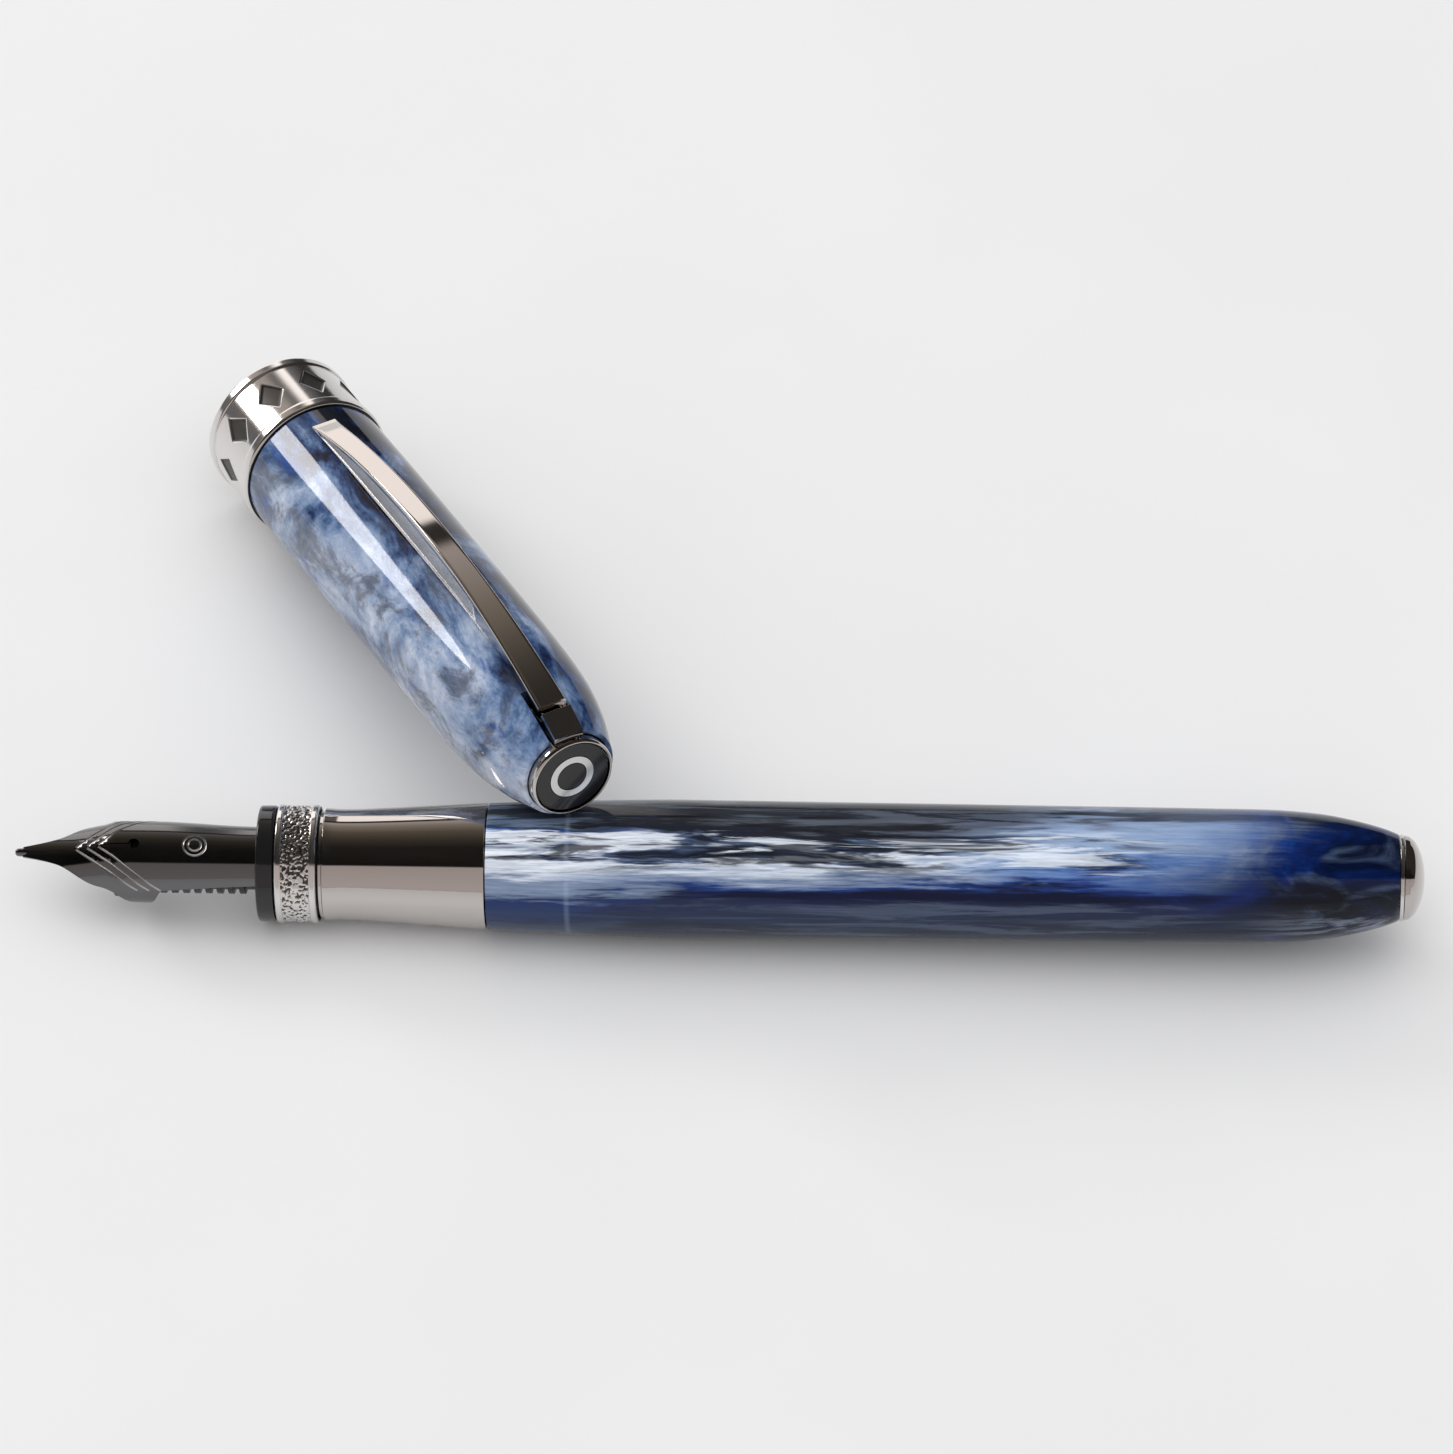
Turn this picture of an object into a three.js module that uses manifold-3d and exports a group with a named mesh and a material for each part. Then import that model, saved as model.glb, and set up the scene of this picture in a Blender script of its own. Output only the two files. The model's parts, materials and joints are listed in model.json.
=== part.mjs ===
// A fountain pen lying open on a table, with its cap leaning on the barrel. Millimetres, +Z up.
// The pen lies along X, nib towards -X. The origin is on the table, under the middle of the whole group.
// Inside the pen's own group, X is the distance from the nib's tip along the pen's axis.
// Inside the cap's own group, X is the distance from the cap's mouth along the cap's axis, and the clip is up.
import * as THREE from "three";
import { mergeVertices } from "three/addons/utils/BufferGeometryUtils.js";
import Module from "manifold-3d";

const wasm = await Module();
wasm.setup();

// ---- Driving dimensions ----

const SIDES = 24; // flats round a large turned piece
const FINE_SIDES = 16; // flats round a small one
const TINY_SIDES = 12; // flats round a pin, a magnet or the feed

const PEN_LENGTH = 130;
const MOUTH = 22.6; // front face of the section
const RING_FRONT = 24.3; // textured trim ring
const RING_BACK = 28.2;
const JOINT_STATION = 43.7; // where the metal grip meets the barrel
const BELLY = 60; // the barrel's widest place
const DOME_BASE = 127.65;

const FRONT_RING_R = 5.375;
const TRIM_RING_R = 5.5;
const GRIP_WAIST_R = 5.13;
const GRIP_BACK_R = 5.86;
const BELLY_R = 6.37;
const TAIL_R = 6.17;
const DOME_R = 3.95;
const HOUSING_BORE_R = 3.5; // holds the nib and the feed
const HOUSING_R = 3.8;
const CORE_BORE_R = 3.95;
const BARREL_BORE_R = 4.9;
const NIPPLE_R = 1.7;
const CONVERTER_R = 3.45;
const CONVERTER_BORE_R = 2.95;
const ROD_R = 1.2;
const CONVERTER_FRONT = 38.2;
const PISTON_STROKE = 22;

const NIB_SHEET = 0.35;
const NIB_ROLL = 14; // degrees, the nib's crown towards -Y

const BAND_LENGTH = 8.5;
const BAND_R = 7.5;
const CAP_R = 7.2;
const CAP_MOUTH_BORE_R = 6.35;
const CAP_BORE_R = 6.1;
const CAP_HEAD_BORE_R = 5.35;
const BEZEL_R = 4.1;
const BEZEL_BORE_R = 3.8;
const CAP_LENGTH = 62.6;
const CAP_HEAD = 55.4; // underside of the cap's solid head
const SEAT = 59.4; // floor of the bezel's seat in the head

const CLIP_WIDTH = 2.6;
const CLIP_TIP = 11.4;
const CLIP_END = 59.1;
const CLIP_RISE = 3.8; // height of the clip's arch over the straight line between its ends
const CLIP_PIN = { along: 57.9, up: 4.6, radius: 0.42 };
const SLOT_HALF_WIDTH = 1.7;

const CAP_MOUTH_PLACE = { x: 20.3, y: 54.5 }; // from the nib's tip
const CAP_AZIMUTH = -59.5; // degrees from +X, the way the closed end points
const CAP_TILT = 9.1; // degrees up towards the closed end
const CAP_ROLL = -2;

// The barrel rests on a short cone that lies in one plane with the trim ring's front rim.
const RIM_STATION = RING_FRONT + 0.15;
const REST_CONE_START = 53;
const REST_SLOPE = (BELLY_R - TRIM_RING_R) / (BELLY - RIM_STATION);
const REST_CONE_R = BELLY_R - REST_SLOPE * (BELLY - REST_CONE_START);
const PEN_TILT = Math.atan(REST_SLOPE * Math.cos(Math.PI / SIDES));

// ---- Materials ----

const finish = (color, metalness, roughness, extra = {}) =>
  new THREE.MeshStandardMaterial({ color, metalness, roughness, ...extra });
const MATERIALS = {
  resin: () => finish(0x3d5788, 0.0, 0.12),
  gunmetal: () => finish(0x55504e, 1.0, 0.12),
  textured: () => finish(0x9a948e, 1.0, 0.35),
  steel: () => finish(0xb8bcc2, 1.0, 0.15),
  nib: () => finish(0x3a3836, 1.0, 0.18),
  blackGloss: () => finish(0x111214, 0.0, 0.2),
  feedPlastic: () => finish(0x141415, 0.0, 0.45),
  clear: () => finish(0xdfe8ee, 0.0, 0.05, { transparent: true, opacity: 0.35 }),
  rubber: () => finish(0x202022, 0.0, 0.7),
  brass: () => finish(0xb08d4c, 1.0, 0.3),
  magnet: () => finish(0x8f9296, 1.0, 0.3),
  liner: () => finish(0x2a2b2e, 0.0, 0.5),
};

// ---- Tools for making shapes ----

// A piece turned about X. The profile's points are [distance along X, radius], and one flat faces straight down.
function turned(profile, sides = SIDES) {
  const points = profile.map(([along, radius]) => new THREE.Vector2(radius, along));
  const geometry = new THREE.LatheGeometry(points, sides, Math.PI / sides);
  return geometry.rotateZ(-Math.PI / 2);
}

const tubeProfile = (from, to, inner, outer) => [
  [from, inner],
  [from, outer],
  [to, outer],
  [to, inner],
  [from, inner],
];

// A flat outline of [along X, up Z] points, given a width across Y.
function slab(outline, width, middle = 0) {
  const shape = new THREE.Shape(outline.map(([x, z]) => new THREE.Vector2(x, z)));
  const geometry = new THREE.ExtrudeGeometry(shape, { depth: width, bevelEnabled: false });
  return geometry.rotateX(Math.PI / 2).translate(0, middle + width / 2, 0);
}

// A round bar across Y, through the point (along, up).
function crossBar(along, up, radius, length) {
  return new THREE.CylinderGeometry(radius, radius, length, TINY_SIDES).translate(along, 0, up);
}

function toSolid(geometry) {
  const bare = geometry.clone();
  bare.deleteAttribute("normal");
  bare.deleteAttribute("uv");
  const merged = mergeVertices(bare, 1e-4);
  return new wasm.Manifold(
    new wasm.Mesh({
      numProp: 3,
      vertProperties: merged.attributes.position.array,
      triVerts: new Uint32Array(merged.index.array),
    }),
  );
}

function toGeometry(made) {
  const mesh = made.getMesh();
  const geometry = new THREE.BufferGeometry();
  geometry.setAttribute("position", new THREE.BufferAttribute(mesh.vertProperties, 3));
  geometry.setIndex(new THREE.BufferAttribute(mesh.triVerts, 1));
  return geometry;
}

function cut(body, ...tools) {
  return toGeometry(tools.reduce((made, tool) => made.subtract(toSolid(tool)), toSolid(body)));
}

function join(body, ...more) {
  return toGeometry(more.reduce((made, piece) => made.add(toSolid(piece)), toSolid(body)));
}

// Reads a value off a list of [place, value] pairs, straight between them.
function along(list, place) {
  const next = list.findIndex(([x]) => x > place);
  if (next === 0) return list[0][1];
  if (next < 0) return list[list.length - 1][1];
  const [[x0, y0], [x1, y1]] = [list[next - 1], list[next]];
  return y0 + ((y1 - y0) * (place - x0)) / (x1 - x0);
}

function piece(name, geometry, material) {
  const mesh = new THREE.Mesh(geometry, MATERIALS[material]());
  mesh.name = name;
  return mesh;
}

// ---- Nib unit ----

const NIB_FRONT = 0.75;
const NIB_BACK = 30;
const NIB_RADIUS = [[0, 3.0], [8, 3.4], [9.5, 3.75], [12.5, 3.77], [MOUTH, 3.38], [NIB_BACK, 3.38]];
const NIB_CROWN = [[0, 1.7], [4, 2.1], [8, 3.3], [9.5, 3.75], [12.5, 3.77], [MOUTH, 3.38], [NIB_BACK, 3.38]];
const NIB_WRAP = [[0, 6], [4, 25], [7.7, 68], [9.2, 76], [11, 108], [12.4, 112], [13.8, 72], [NIB_BACK, 62]];

// A strip of sheet bent round the feed: wide shoulders, and a crown that droops towards the tip.
function nibGeometry() {
  const geometry = new THREE.BoxGeometry(NIB_BACK - NIB_FRONT, 2, NIB_SHEET, 20, 8, 1);
  geometry.translate((NIB_BACK + NIB_FRONT) / 2, 0, 0);
  const position = geometry.attributes.position;
  for (let i = 0; i < position.count; i++) {
    const x = position.getX(i);
    const outer = along(NIB_RADIUS, x);
    const angle = position.getY(i) * THREE.MathUtils.degToRad(along(NIB_WRAP, x));
    const radius = outer - NIB_SHEET / 2 + position.getZ(i);
    const middle = along(NIB_CROWN, x) - outer;
    position.setXYZ(i, x, radius * Math.sin(angle), middle + radius * Math.cos(angle));
  }
  return geometry;
}

// The ink feed: a tapered nose, a short comb at the nib's shoulders and a long comb under its body.
function feedGeometry() {
  const [nose, back, rimR, rootR] = [6, 35.6, 2.85, 2.45];
  const profile = [[nose, 0], [nose, 0.6], [9, rootR]];
  function addComb(start, fins, pitch, radius) {
    for (let fin = 0; fin < fins; fin++) {
      const [from, to] = [start + fin * pitch, start + (fin + 0.5) * pitch];
      profile.push([from, rootR], [from, radius], [to, radius], [to, rootR]);
    }
  }
  addComb(9.2, 3, 0.66, 2.95);
  addComb(12.4, 9, 1.05, rimR);
  profile.push([MOUTH, rootR], [MOUTH, rimR], [back, rimR], [back, 0]);
  return turned(profile, TINY_SIDES);
}

// The collar that holds the nib and feed, with the nipple that pierces the converter's mouth behind it.
function nibHousingGeometry() {
  const [front, step, nippleEnd, inkBoreR] = [24.5, 36.5, 45.6, 0.8];
  return turned([
    [front, HOUSING_BORE_R],
    [front, HOUSING_R],
    [step, HOUSING_R],
    [step, NIPPLE_R],
    [nippleEnd, NIPPLE_R],
    [nippleEnd, inkBoreR],
    [step - 0.5, inkBoreR],
    [step - 0.5, HOUSING_BORE_R],
    [front, HOUSING_BORE_R],
  ]);
}

function nibUnit() {
  const group = new THREE.Group();
  const tipping = new THREE.SphereGeometry(0.36, 10, 8).translate(0.36, 0, 1.62);
  group.add(piece("nib", nibGeometry(), "nib"));
  group.add(piece("nib_tipping", tipping, "steel"));
  group.add(piece("ink_feed", feedGeometry(), "feedPlastic"));
  group.add(piece("nib_housing", nibHousingGeometry(), "feedPlastic"));
  group.rotation.x = THREE.MathUtils.degToRad(NIB_ROLL);
  return group;
}

// ---- Section: what the fingers hold ----

function trimRingGeometry() {
  const [fieldR, innerR] = [TRIM_RING_R - 0.15, 5.05];
  return turned([
    [RING_FRONT, innerR],
    [RING_FRONT, TRIM_RING_R - 0.2],
    [RIM_STATION, TRIM_RING_R],
    [RING_FRONT + 0.6, TRIM_RING_R],
    [RING_FRONT + 0.7, fieldR],
    [RING_BACK - 0.7, fieldR],
    [RING_BACK - 0.6, TRIM_RING_R],
    [RING_BACK - 0.15, TRIM_RING_R],
    [RING_BACK, TRIM_RING_R - 0.2],
    [RING_BACK, innerR],
    [RING_FRONT, innerR],
  ]);
}

function gripShellGeometry() {
  const [grooveR, boreR, grooveEnd] = [4.95, 4.55, RING_BACK + 0.5];
  return turned([
    [RING_BACK + 0.1, boreR],
    [RING_BACK + 0.1, grooveR],
    [grooveEnd, grooveR],
    [grooveEnd, GRIP_WAIST_R + 0.1],
    [30.3, GRIP_WAIST_R],
    [34, 5.27],
    [39.1, 5.58],
    [JOINT_STATION, GRIP_BACK_R],
    [JOINT_STATION, boreR],
    [RING_BACK + 0.1, boreR],
  ]);
}

// The threaded core that the grip is pressed on, with the barrel's thread behind the grip.
function sectionCoreGeometry() {
  const [front, back, frontR, threadR, neck] = [24.4, 52.9, 4.4, 4.85, 44.6];
  return turned([
    [front, CORE_BORE_R],
    [front, frontR],
    [neck, frontR],
    [neck, threadR],
    [back, threadR],
    [back, CORE_BORE_R],
    [front, CORE_BORE_R],
  ]);
}

function section() {
  const group = new THREE.Group();
  const frontRing = turned(tubeProfile(MOUTH, RING_FRONT - 0.05, CORE_BORE_R, FRONT_RING_R));
  const magnet = turned(tubeProfile(RING_FRONT + 0.4, RING_BACK - 0.3, 4.5, 4.95));
  group.add(piece("front_ring", frontRing, "blackGloss"));
  group.add(piece("trim_ring", trimRingGeometry(), "textured"));
  group.add(piece("grip_shell", gripShellGeometry(), "gunmetal"));
  group.add(piece("section_core", sectionCoreGeometry(), "liner"));
  group.add(piece("section_magnet", magnet, "magnet"));
  return group;
}

// ---- Barrel ----

function barrelShellGeometry() {
  const [front, bushBoreR, bushEnd, studBoreR] = [JOINT_STATION + 0.1, 5.4, 53.6, 1.5];
  return turned([
    [front, bushBoreR],
    [front, GRIP_BACK_R],
    [REST_CONE_START, REST_CONE_R],
    [BELLY, BELLY_R],
    [65, BELLY_R],
    [113, TAIL_R],
    [117, TAIL_R - 0.09],
    [120.4, 5.8],
    [123.2, 5.31],
    [126, 4.6],
    [DOME_BASE - 0.05, DOME_R + 0.05],
    [DOME_BASE - 0.05, studBoreR],
    [118, studBoreR],
    [118, 3.6],
    [112, BARREL_BORE_R],
    [bushEnd, BARREL_BORE_R],
    [bushEnd, bushBoreR],
    [front, bushBoreR],
  ]);
}

// The polished end dome, with the stud that screws into the barrel.
function tailDomeGeometry() {
  const [studEnd, studR, base] = [118.4, 1.35, DOME_BASE + 0.4];
  const profile = [[studEnd, 0], [studEnd, studR], [base, studR]];
  for (let step = 0; step < 6; step++) {
    const angle = (step / 6) * (Math.PI / 2);
    profile.push([base + (PEN_LENGTH - base) * Math.sin(angle), DOME_R * Math.cos(angle)]);
  }
  profile.push([PEN_LENGTH, 0]);
  return turned(profile);
}

function barrel() {
  const group = new THREE.Group();
  const bush = turned(tubeProfile(JOINT_STATION + 0.5, 53.4, 5.0, 5.28));
  const ring = turned(tubeProfile(DOME_BASE, DOME_BASE + 0.35, 1.5, DOME_R + 0.05));
  group.add(piece("barrel_shell", barrelShellGeometry(), "resin"));
  group.add(piece("barrel_bush", bush, "brass"));
  group.add(piece("tail_ring", ring, "steel"));
  group.add(piece("tail_dome", tailDomeGeometry(), "gunmetal"));
  return group;
}

// ---- Converter: the screw-piston ink reservoir inside the barrel ----

function converterMouthGeometry() {
  const [end, spigotR, spigotEnd, holeR] = [46, 2.85, 47.8, NIPPLE_R + 0.15];
  return turned(
    [
      [CONVERTER_FRONT, holeR],
      [CONVERTER_FRONT, CONVERTER_R - 0.15],
      [end, CONVERTER_R - 0.15],
      [end, spigotR],
      [spigotEnd, spigotR],
      [spigotEnd, holeR],
      [CONVERTER_FRONT, holeR],
    ],
    FINE_SIDES,
  );
}

function pistonRodGeometry() {
  const [front, sealFront, sealBack, shoulder, end] = [47.95, 48.5, 52, 53, 83.9];
  return turned(
    [
      [front, 0],
      [front, 2.2],
      [sealFront, 2.2],
      [sealFront, 0.9],
      [sealBack, 0.9],
      [sealBack, 2.4],
      [shoulder, 2.4],
      [shoulder, ROD_R],
      [end, ROD_R],
      [end, 0],
    ],
    TINY_SIDES,
  );
}

function pistonSealGeometry() {
  const [front, back, lipR, waistR, holeR] = [48.6, 51.9, 2.82, 2.5, 1.0];
  return turned(
    [
      [front, holeR],
      [front, lipR],
      [front + 0.8, lipR],
      [front + 1.2, waistR],
      [back - 1.2, waistR],
      [back - 0.8, lipR],
      [back, lipR],
      [back, holeR],
      [front, holeR],
    ],
    FINE_SIDES,
  );
}

// The knob is hollow: its thread draws the piston's rod into it.
function converterKnobGeometry() {
  const [front, collar, end, boreR] = [79.8, 88.3, 107.4, ROD_R + 0.25];
  const boreEnd = 83.9 + PISTON_STROKE + 0.5;
  return turned(
    [
      [boreEnd, 0],
      [boreEnd, boreR],
      [front, boreR],
      [front, 3.25],
      [collar, 3.25],
      [collar, 3.5],
      [end - 0.8, 3.5],
      [end, 3.0],
      [end, 0],
    ],
    FINE_SIDES,
  );
}

function converter() {
  const group = new THREE.Group();
  const tube = turned(tubeProfile(46.1, 79.5, CONVERTER_BORE_R, CONVERTER_R), FINE_SIDES);
  const sleeve = turned(tubeProfile(74, 88, CONVERTER_R + 0.05, CONVERTER_R + 0.3), FINE_SIDES);
  group.add(piece("converter_mouth", converterMouthGeometry(), "liner"));
  group.add(piece("converter_tube", tube, "clear"));
  group.add(piece("converter_sleeve", sleeve, "steel"));
  group.add(piece("converter_knob", converterKnobGeometry(), "blackGloss"));
  group.add(piece("piston_rod", pistonRodGeometry(), "liner"));
  group.add(piece("piston_seal", pistonSealGeometry(), "rubber"));
  return group;
}

// ---- Cap ----

function capBandGeometry() {
  const [fieldR, seatR, seat] = [BAND_R - 0.15, 7.0, 5];
  return turned([
    [0, CAP_MOUTH_BORE_R],
    [0, BAND_R - 0.2],
    [0.2, BAND_R],
    [1.1, BAND_R],
    [1.2, fieldR],
    [BAND_LENGTH - 1.2, fieldR],
    [BAND_LENGTH - 1.1, BAND_R],
    [BAND_LENGTH - 0.2, BAND_R],
    [BAND_LENGTH, BAND_R - 0.15],
    [BAND_LENGTH, seatR],
    [seat, seatR],
    [seat, CAP_MOUTH_BORE_R],
    [0, CAP_MOUTH_BORE_R],
  ]);
}

// The resin cap: a spigot inside the band, a long barrel, and a rounded head with a slot for the clip's hinge.
function capShellGeometry() {
  const [spigot, spigotR, studHoleR, seatR] = [5.2, 6.9, 1.6, BEZEL_R + 0.07];
  const shell = turned([
    [spigot, CAP_MOUTH_BORE_R],
    [spigot, spigotR],
    [BAND_LENGTH + 0.1, spigotR],
    [BAND_LENGTH + 0.1, CAP_R - 0.05],
    [22, CAP_R],
    [40, 7.12],
    [48, 7.0],
    [52, 6.8],
    [55, 6.45],
    [58, 5.8],
    [60.2, 5.08],
    [61.6, 4.6],
    [61.6, seatR],
    [SEAT, seatR],
    [SEAT, studHoleR],
    [CAP_HEAD, studHoleR],
    [CAP_HEAD, CAP_HEAD_BORE_R],
    [40, CAP_HEAD_BORE_R],
    [40, CAP_BORE_R],
    [12, CAP_BORE_R],
    [spigot, CAP_MOUTH_BORE_R],
  ]);
  const slotOutline = [[56, 2.6], [62, 2.6], [62, 8], [56, 8]];
  return cut(shell, slab(slotOutline, 2 * SLOT_HALF_WIDTH));
}

// A long cup inside the cap that takes the section and seals the nib.
function capLinerGeometry() {
  const [front, shoulder, end, wideR, narrowR] = [12.5, 30.2, 53.2, 5.65, 4.35];
  return turned([
    [end - 0.8, 0],
    [end - 0.8, narrowR],
    [shoulder - 0.7, narrowR],
    [shoulder - 0.7, wideR],
    [front, wideR],
    [front, CAP_BORE_R - 0.1],
    [shoulder, CAP_BORE_R - 0.1],
    [shoulder, narrowR + 0.45],
    [end, narrowR + 0.45],
    [end, 0],
  ]);
}

// A washer under the bezel, with the block beside the bezel and two ears for the clip's pin.
function clipBracketGeometry() {
  const [earStart, earThick, gap] = [56.6, 0.6, 0.9];
  const washer = turned(tubeProfile(SEAT + 0.05, SEAT + 0.45, 1.6, BEZEL_R - 0.05));
  const block = slab(
    [[SEAT + 0.05, 3], [62.2, BEZEL_R + 0.1], [62.4, 4.95], [59.9, 6.2], [SEAT + 0.4, 6.1], [SEAT + 0.05, 5.3]],
    2.9,
  );
  const bezelRoom = turned([[SEAT + 0.45, 0], [SEAT + 0.45, BEZEL_R + 0.08], [64, BEZEL_R + 0.08], [64, 0]]);
  const ear = [[earStart, 3.2], [SEAT + 0.2, 3.2], [SEAT + 0.2, 5.2], [58.6, 5.4], [earStart, 5.4]];
  const ears = [-1, 1].map((side) => slab(ear, earThick, side * (gap + earThick / 2)));
  const pinHole = crossBar(CLIP_PIN.along, CLIP_PIN.up, CLIP_PIN.radius + 0.08, 6);
  return cut(join(washer, cut(block, bezelRoom), ...ears), pinHole);
}

// Height of the clip's top over the cap's axis: an arch between its two ends.
function clipTop(x) {
  const middle = (CLIP_TIP + CLIP_END) / 2;
  const half = (CLIP_END - CLIP_TIP) / 2;
  const chord = along([[CLIP_TIP, 7.45], [CLIP_END, 6.4]], x);
  return chord + CLIP_RISE * (1 - ((x - middle) / half) ** 2);
}

// The clip is a solid arch whose underside follows the cap, with a tab for the hinge pin.
function clipArmGeometry() {
  const steps = 14;
  const underside = [[12.2, 7.36], [22, 7.38], [40, 7.3], [48, 7.17], [52, 6.93], [55, 6.57], [56.8, 6.22]];
  const outline = [...underside, [58.9, 5.78], [CLIP_END, 5.9]];
  for (let step = 0; step <= steps; step++) {
    const x = CLIP_END - ((CLIP_END - CLIP_TIP) * step) / steps;
    outline.push([x, clipTop(x)]);
  }
  const tab = [[57.0, 3.7], [58.8, 3.7], [58.8, 6.1], [57.0, 6.5]];
  const pinHole = crossBar(CLIP_PIN.along, CLIP_PIN.up, CLIP_PIN.radius + 0.08, 6);
  return cut(join(slab(outline, CLIP_WIDTH), slab(tab, 1.5)), pinHole);
}

// A leaf spring behind the tab, which holds the clip shut.
function clipSpringGeometry() {
  const leaf = [[56.1, 3.1], [56.45, 3.1], [56.6, 4.1], [56.45, 5.1], [56.1, 5.1], [56.25, 4.1]];
  return slab(leaf, 1.4);
}

// The bezel cup that shows round the finial, with the stud that holds the head together.
function finialBezelGeometry() {
  const [studEnd, studR, base, floor] = [53.9, 1.35, SEAT + 0.5, 60.4];
  return turned([
    [studEnd, 0],
    [studEnd, studR],
    [base, studR],
    [base, BEZEL_R],
    [CAP_LENGTH - 0.2, BEZEL_R],
    [CAP_LENGTH, BEZEL_R - 0.15],
    [CAP_LENGTH, BEZEL_BORE_R],
    [floor, BEZEL_BORE_R],
    [floor, 0],
  ]);
}

const discProfile = (from, to, radius) => [[from, 0], [from, radius], [to, radius], [to, 0]];

// The finial's disc, with a ring-shaped groove for its inlay.
const DISC_FACE = CAP_LENGTH - 0.2;
const INLAY = { inner: 1.5, outer: 2.2, depth: 0.15, gap: 0.04 };

function finialDiscGeometry() {
  return turned([
    [DISC_FACE - 0.55, 0],
    [DISC_FACE - 0.55, 3.65],
    [DISC_FACE, 3.65],
    [DISC_FACE, INLAY.outer + INLAY.gap],
    [DISC_FACE - INLAY.depth, INLAY.outer + INLAY.gap],
    [DISC_FACE - INLAY.depth, INLAY.inner - INLAY.gap],
    [DISC_FACE, INLAY.inner - INLAY.gap],
    [DISC_FACE, 0],
  ]);
}

function cap() {
  const group = new THREE.Group();
  const magnet = turned(tubeProfile(30.5, 33.7, 4.95, CAP_BORE_R - 0.1));
  const pin = crossBar(CLIP_PIN.along, CLIP_PIN.up, CLIP_PIN.radius, 3);
  const nut = turned(tubeProfile(53.6, CAP_HEAD - 0.1, 1.7, 2.8), 6);
  const baseMagnet = turned(discProfile(60.45, 61.05, 3.4), FINE_SIDES);
  const inlayBack = DISC_FACE - INLAY.depth + INLAY.gap;
  const inlay = turned(tubeProfile(inlayBack, DISC_FACE, INLAY.inner, INLAY.outer));
  group.add(piece("cap_shell", capShellGeometry(), "resin"));
  group.add(piece("cap_band", capBandGeometry(), "textured"));
  group.add(piece("cap_liner", capLinerGeometry(), "liner"));
  group.add(piece("cap_magnet", magnet, "magnet"));
  group.add(piece("clip_bracket", clipBracketGeometry(), "gunmetal"));
  group.add(piece("clip_pin", pin, "steel"));
  group.add(piece("clip_spring", clipSpringGeometry(), "steel"));
  group.add(piece("clip_arm", clipArmGeometry(), "gunmetal"));
  group.add(piece("finial_bezel", finialBezelGeometry(), "gunmetal"));
  group.add(piece("finial_nut", nut, "brass"));
  group.add(piece("finial_base_magnet", baseMagnet, "magnet"));
  group.add(piece("finial_magnet", turned(discProfile(61.15, 61.8, 3.4), FINE_SIDES), "magnet"));
  group.add(piece("finial_disc", finialDiscGeometry(), "blackGloss"));
  group.add(piece("finial_inlay", inlay, "steel"));
  return group;
}

// ---- Placing the pen and its cap on the table ----

function layOnTable(group) {
  const lowest = new THREE.Box3().setFromObject(group, true).min.z;
  group.position.z -= lowest;
}

const pen = new THREE.Group();
pen.add(nibUnit(), section(), barrel(), converter());
pen.rotation.y = -PEN_TILT;
layOnTable(pen);

const leaningCap = cap();
leaningCap.rotation.set(
  THREE.MathUtils.degToRad(CAP_ROLL),
  THREE.MathUtils.degToRad(-CAP_TILT),
  THREE.MathUtils.degToRad(CAP_AZIMUTH),
  "ZYX",
);
leaningCap.position.set(CAP_MOUTH_PLACE.x, CAP_MOUTH_PLACE.y, 0);
layOnTable(leaningCap);

const fountainPen = new THREE.Group();
fountainPen.add(pen, leaningCap);
const middle = new THREE.Box3().setFromObject(fountainPen, true).getCenter(new THREE.Vector3());
fountainPen.position.set(-middle.x, -middle.y, 0);

export default fountainPen;
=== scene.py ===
"""The looks of a fountain pen that lies open on a pale table, with its cap leaning on the barrel.

Shapes are worked out in millimetres in three frames of their own:
the pen's, with X along its axis from the nib's tip; the nib's, which is the pen's rolled about that axis;
and the cap's, with X along its axis from its mouth and Z towards the clip.
Most pieces are turned, so their outlines are read from the CAD nodes and made round, smooth and fine here.
"""
import json
import math

import bmesh
import bpy
from mathutils import Matrix, Vector, noise


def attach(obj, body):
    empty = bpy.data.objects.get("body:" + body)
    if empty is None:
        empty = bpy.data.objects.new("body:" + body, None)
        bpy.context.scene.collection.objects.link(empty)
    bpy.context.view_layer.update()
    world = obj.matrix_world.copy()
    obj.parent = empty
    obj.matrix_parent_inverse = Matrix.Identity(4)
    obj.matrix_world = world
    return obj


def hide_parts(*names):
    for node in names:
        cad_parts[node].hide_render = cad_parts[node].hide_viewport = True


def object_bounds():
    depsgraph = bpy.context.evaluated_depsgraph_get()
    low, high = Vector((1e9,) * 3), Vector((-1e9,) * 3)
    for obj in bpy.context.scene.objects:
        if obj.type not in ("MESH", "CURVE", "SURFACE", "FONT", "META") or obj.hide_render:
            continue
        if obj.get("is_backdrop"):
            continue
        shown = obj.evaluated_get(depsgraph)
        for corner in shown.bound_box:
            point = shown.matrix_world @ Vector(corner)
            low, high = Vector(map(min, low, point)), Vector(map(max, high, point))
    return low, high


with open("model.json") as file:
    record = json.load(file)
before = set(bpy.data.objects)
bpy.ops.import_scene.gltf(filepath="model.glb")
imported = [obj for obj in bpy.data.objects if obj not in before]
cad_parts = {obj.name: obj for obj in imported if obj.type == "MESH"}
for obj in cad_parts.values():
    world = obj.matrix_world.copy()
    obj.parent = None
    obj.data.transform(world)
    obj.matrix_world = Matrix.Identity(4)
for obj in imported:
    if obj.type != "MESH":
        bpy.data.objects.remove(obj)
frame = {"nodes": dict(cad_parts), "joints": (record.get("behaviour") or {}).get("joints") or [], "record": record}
CAD_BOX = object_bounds()

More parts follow.
